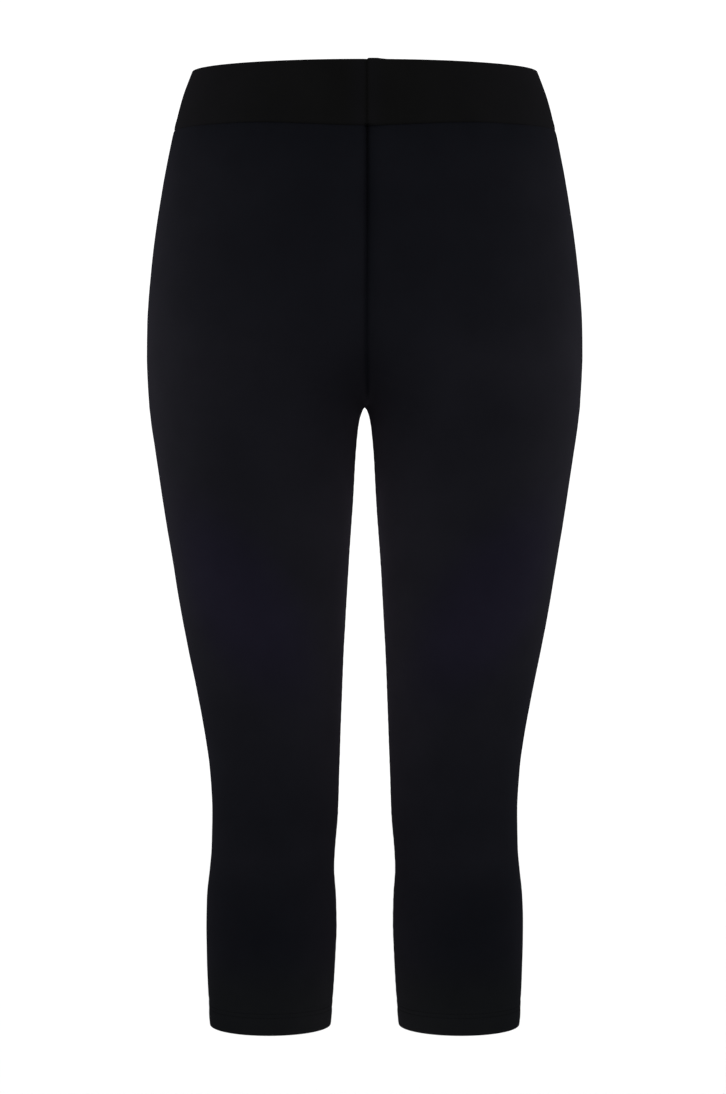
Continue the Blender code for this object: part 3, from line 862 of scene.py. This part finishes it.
# ==================================================================================================
# The seam allowances, inside. Each seam's two raw edges are trimmed and overlocked together, and
# lie flat on the cloth: up behind the waistband, to the wearer's left at the centre seam, and to
# the back along each inseam.
# ==================================================================================================
ALLOWANCE = 1.3  # two layers, pressed
SEAM_ALLOWANCE = 6.5
WAIST_ALLOWANCE = 8.0
CROTCH_CLEAR = 4.0  # the centre seam's allowances are trimmed away this near the crotch
HEM_CLEAR = 0.5  # and the inseams' end this far above the hem's raw edge
LIFT = 0.05  # between the allowances and the cloth they lie on


def allowance_strip(name, panel, rows, columns, material):
    """A strip on the inside of a panel, over these of its rows and columns."""
    part = np.ix_(rows, columns)
    under = panel.inner[part] - panel.normals[part] * LIFT
    over = under - panel.normals[part] * ALLOWANCE
    plain = np.zeros(under.shape[:2])
    strip = Panel(
        hand=panel.hand,
        outer=under,
        inner=over,
        normals=panel.normals[part],
        drops=panel.drops[part],
        travel=panel.travel[part],
        stretch=plain,
        violet=plain,
        crotch_row=len(rows),
    )
    piece = cloth_object(name, strip, material)
    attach(piece, "root")
    return piece, strip


all_columns = np.arange(HALF.x.shape[1])
allowance_columns = SEAM_COLUMNS.index(SEAM_ALLOWANCE) + 1
front_columns, back_columns = all_columns[:allowance_columns], all_columns[-allowance_columns:]
above_crotch = np.flatnonzero(legs["left"].drops[:, 0] < CROTCH_DROP - CROTCH_CLEAR)
behind_band = np.flatnonzero(BAND_SHARES * WAIST_SEAM_DROP > WAIST_SEAM_DROP - WAIST_ALLOWANCE)
strips = {}
for end, columns in (("front", front_columns), ("back", back_columns)):
    strips[f"centre_{end}"] = allowance_strip(
        f"allowance_centre_{end}", legs["left"], above_crotch, columns, black_jersey
    )
for side, leg in legs.items():
    above_hem = np.flatnonzero(leg.drops[:, 0] < HEM_DROP - HEM_DEPTH - HEM_CLEAR)
    strips[f"inseam_{side}"] = allowance_strip(
        f"allowance_inseam_{side}", leg, above_hem[leg.crotch_row + 1 :], back_columns, black_jersey
    )
    strips[f"waist_{side}"] = allowance_strip(
        f"allowance_waist_{side}", bands[side], behind_band, all_columns, black_jersey
    )


# ==================================================================================================
# The sewing, in black polyester thread. Overlock loops run to and fro over the allowances' raw
# edges. Each hem is cover-stitched: two rows of short stitches outside, and inside a looper thread
# that zigzags between them over the raw edge.
# ==================================================================================================
THREAD = 0.14
OVERLOCK_PITCH = 2.4
OVERLOCK_DEPTH = 0.85
STITCH_PITCH = 3.0
STITCH_LENGTH = 2.3
STITCH_BEND = 0.18  # where a stitch bends over, as a share of its length from either end
STITCH_RISE = 0.06
STITCH_SINK = 0.22
STITCH_END = 0.6  # its radius at the ends, as a share


def resample(places, length, line):
    return np.stack([np.interp(places, length, line[:, axis]) for axis in range(3)], axis=1)


def length_along(line):
    return np.concatenate([[0.0], np.cumsum(np.linalg.norm(np.diff(line, axis=0), axis=1))])


def zigzag(one, other, pitch):
    """Points that run to and fro between two lines that have their points side by side."""
    length = length_along(one)
    places = np.arange(0.0, length[-1], pitch / 2)
    near, far = resample(places, length, one), resample(places, length, other)
    return np.where((np.arange(len(places)) % 2 == 0)[:, None], near, far)


def thread_object(name, runs, material, thins=False):
    """One curve object whose splines are the runs. A short stitch thins where it dives in."""
    curve = bpy.data.curves.new(name, "CURVE")
    curve.dimensions = "3D"
    curve.bevel_depth = THREAD * MM
    curve.bevel_resolution = 1
    curve.use_fill_caps = True
    for run in runs:
        spline = curve.splines.new("POLY")
        spline.points.add(len(run) - 1)
        spline.points.foreach_set("co", np.hstack([run * MM, np.ones((len(run), 1))]).reshape(-1))
        if thins:
            spline.points[0].radius = spline.points[-1].radius = STITCH_END
    curve.materials.append(material)
    piece = bpy.data.objects.new(name, curve)
    bpy.context.scene.collection.objects.link(piece)
    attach(piece, "root")
    return piece


def thread_material():
    """Twisted polyester, matte, with a faint ply along it."""
    material = bpy.data.materials.new("black_thread")
    material.use_nodes = True
    tree = material.node_tree
    shader = tree.nodes["Principled BSDF"]
    spot = add_node(tree, "ShaderNodeNewGeometry").outputs["Position"]
    ply = add_node(tree, "ShaderNodeTexNoise", {"Vector": spot, "Scale": 2500.0, "Detail": 1.0})
    colour = add_node(tree, "ShaderNodeMix", data_type="RGBA")
    tree.links.new(ply.outputs["Fac"], colour.inputs["Factor"])
    colour.inputs["A"].default_value = (0.0024, 0.0024, 0.0028, 1.0)
    colour.inputs["B"].default_value = (0.0044, 0.0044, 0.0050, 1.0)
    tree.links.new(colour.outputs["Result"], shader.inputs["Base Color"])
    shader.inputs["Roughness"].default_value = 0.8
    shader.inputs["Specular IOR Level"].default_value = 0.0
    return material


def stitch_run(line, normals):
    """Short stitches along a closed line, each rising out of the cloth and diving back in."""
    length = length_along(line)
    count = round(length[-1] / STITCH_PITCH)
    pitch = length[-1] / count
    bends = STITCH_LENGTH * np.array([0.0, STITCH_BEND, 1.0 - STITCH_BEND, 1.0])
    rise = np.array([-STITCH_SINK, STITCH_RISE, STITCH_RISE, -STITCH_SINK])[:, None]
    runs = []
    for places in np.arange(count)[:, None] * pitch + bends:
        runs.append(resample(places, length, line) + rise * resample(places, length, normals))
    return runs


def ring_at(panel, height, layer):
    """The closed line round a leg at this height above its hem, and its normals."""
    row = int(np.argmin(np.abs(HEM_DROP - panel.drops[:, 0] - height)))
    return layer[row], panel.normals[row]


black_thread = thread_material()
sewing = {}
for seam, (_, strip) in strips.items():
    out_from_seam = strip.inner - strip.normals * THREAD
    if seam.startswith("waist"):
        edge, needle = out_from_seam[0], out_from_seam[-1]
    elif seam == "centre_front":
        edge, needle = out_from_seam[:, -1], out_from_seam[:, 0]
    else:
        edge, needle = out_from_seam[:, 0], out_from_seam[:, -1]
    needle = edge + (needle - edge) * OVERLOCK_DEPTH
    loops = zigzag(edge, needle, OVERLOCK_PITCH)
    sewing[seam] = thread_object(f"overlock_{seam}", [loops], black_thread)

for side, leg in legs.items():
    stitches = []
    lines = []
    for height in STITCH_HEIGHTS:
        stitches += stitch_run(*ring_at(leg, height, leg.outer))
        line, normals = ring_at(leg, height, leg.inner)
        lines.append(line - normals * THREAD)
    looper = zigzag(*lines, STITCH_PITCH)
    sewing[f"hem_{side}"] = thread_object(f"hem_stitches_{side}", stitches, black_thread, thins=True)
    sewing[f"looper_{side}"] = thread_object(f"hem_looper_{side}", [looper], black_thread)

for side in legs:
    with_leg = [strips[f"inseam_{side}"][0]]
    with_leg += [sewing[f"{what}_{side}"] for what in ("inseam", "hem", "looper")]
    if side == "left":
        for seam in ("centre_front", "centre_back"):
            with_leg += [strips[seam][0], sewing[seam]]


# ==================================================================================================
# The studio: a pale floor a little below where the wearer's feet would be, white light from all
# round with a soft, warmer light on either side, and a camera at hip height, straight in front.
# Lengths are metres here.
# ==================================================================================================
FLOOR_DROP = 1.05
FLOOR_REACH = 4.0

floor_corners = [
    (x * FLOOR_REACH, y * FLOOR_REACH, -FLOOR_DROP) for x, y in ((-1, -1), (1, -1), (1, 1), (-1, 1))
]
floor_data = bpy.data.meshes.new("floor")
floor_data.from_pydata(floor_corners, [], [(0, 1, 2, 3)])
floor = bpy.data.objects.new("floor", floor_data)
bpy.context.scene.collection.objects.link(floor)
paint = bpy.data.materials.new("pale_floor")
paint.use_nodes = True
paint.node_tree.nodes["Principled BSDF"].inputs["Base Color"].default_value = (0.93, 0.93, 0.93, 1.0)
paint.node_tree.nodes["Principled BSDF"].inputs["Roughness"].default_value = 0.9
floor_data.materials.append(paint)

world = bpy.data.worlds.new("white_studio")
world.use_nodes = True
world.node_tree.nodes["Background"].inputs["Color"].default_value = (1.0, 1.0, 1.0, 1.0)
world.node_tree.nodes["Background"].inputs["Strength"].default_value = 1.1
bpy.context.scene.world = world
bpy.context.scene.view_settings.view_transform = "Standard"

SIDE_LIGHT = 1.4
SIDE_LIGHT_COLOUR = (1.0, 0.95, 0.86)
SIDE_LIGHT_SIZE = (0.5, 0.3)
SIDE_LIGHT_SPREAD = 75
SIDE_LIGHT_OUT = 0.8
SIDE_LIGHT_AIM = Vector((0.0, 0.2, -0.26))


def side_light(name, hand):
    """A soft light level with the hips, which faces them from one side."""
    data = bpy.data.lights.new(name, "AREA")
    data.shape = "RECTANGLE"
    data.size, data.size_y = SIDE_LIGHT_SIZE
    data.energy = SIDE_LIGHT
    data.color = SIDE_LIGHT_COLOUR
    data.spread = math.radians(SIDE_LIGHT_SPREAD)
    lamp = bpy.data.objects.new(name, data)
    out = Vector((hand * SIDE_LIGHT_OUT, 0.0, 0.0))
    lamp.location = SIDE_LIGHT_AIM + out
    lamp.rotation_euler = (-out).to_track_quat("-Z", "Y").to_euler()
    lamp.visible_camera = False
    bpy.context.scene.collection.objects.link(lamp)


side_light("light_left", 1)
side_light("light_right", -1)

CAMERA_AWAY = 2.78
CAMERA_DROP = 0.3014
CAMERA_ACROSS = -0.0014
IMAGE_HEIGHT = 1094
FOCAL_LENGTH_PIXELS = 3364.6
HORIZON_ROW = 436.7  # the row of the image that is level with the camera
FILM_HEIGHT = 36.0
camera_data = bpy.data.cameras.new("camera")
camera_data.sensor_fit = "VERTICAL"
camera_data.sensor_height = FILM_HEIGHT
camera_data.lens = FOCAL_LENGTH_PIXELS / IMAGE_HEIGHT * FILM_HEIGHT
camera_data.shift_y = (HORIZON_ROW - IMAGE_HEIGHT / 2) / IMAGE_HEIGHT
camera = bpy.data.objects.new("camera", camera_data)
camera.location = (CAMERA_ACROSS, -CAMERA_AWAY, -CAMERA_DROP)
camera.rotation_euler = (math.pi / 2, 0.0, 0.0)
bpy.context.scene.collection.objects.link(camera)
bpy.context.scene.camera = camera
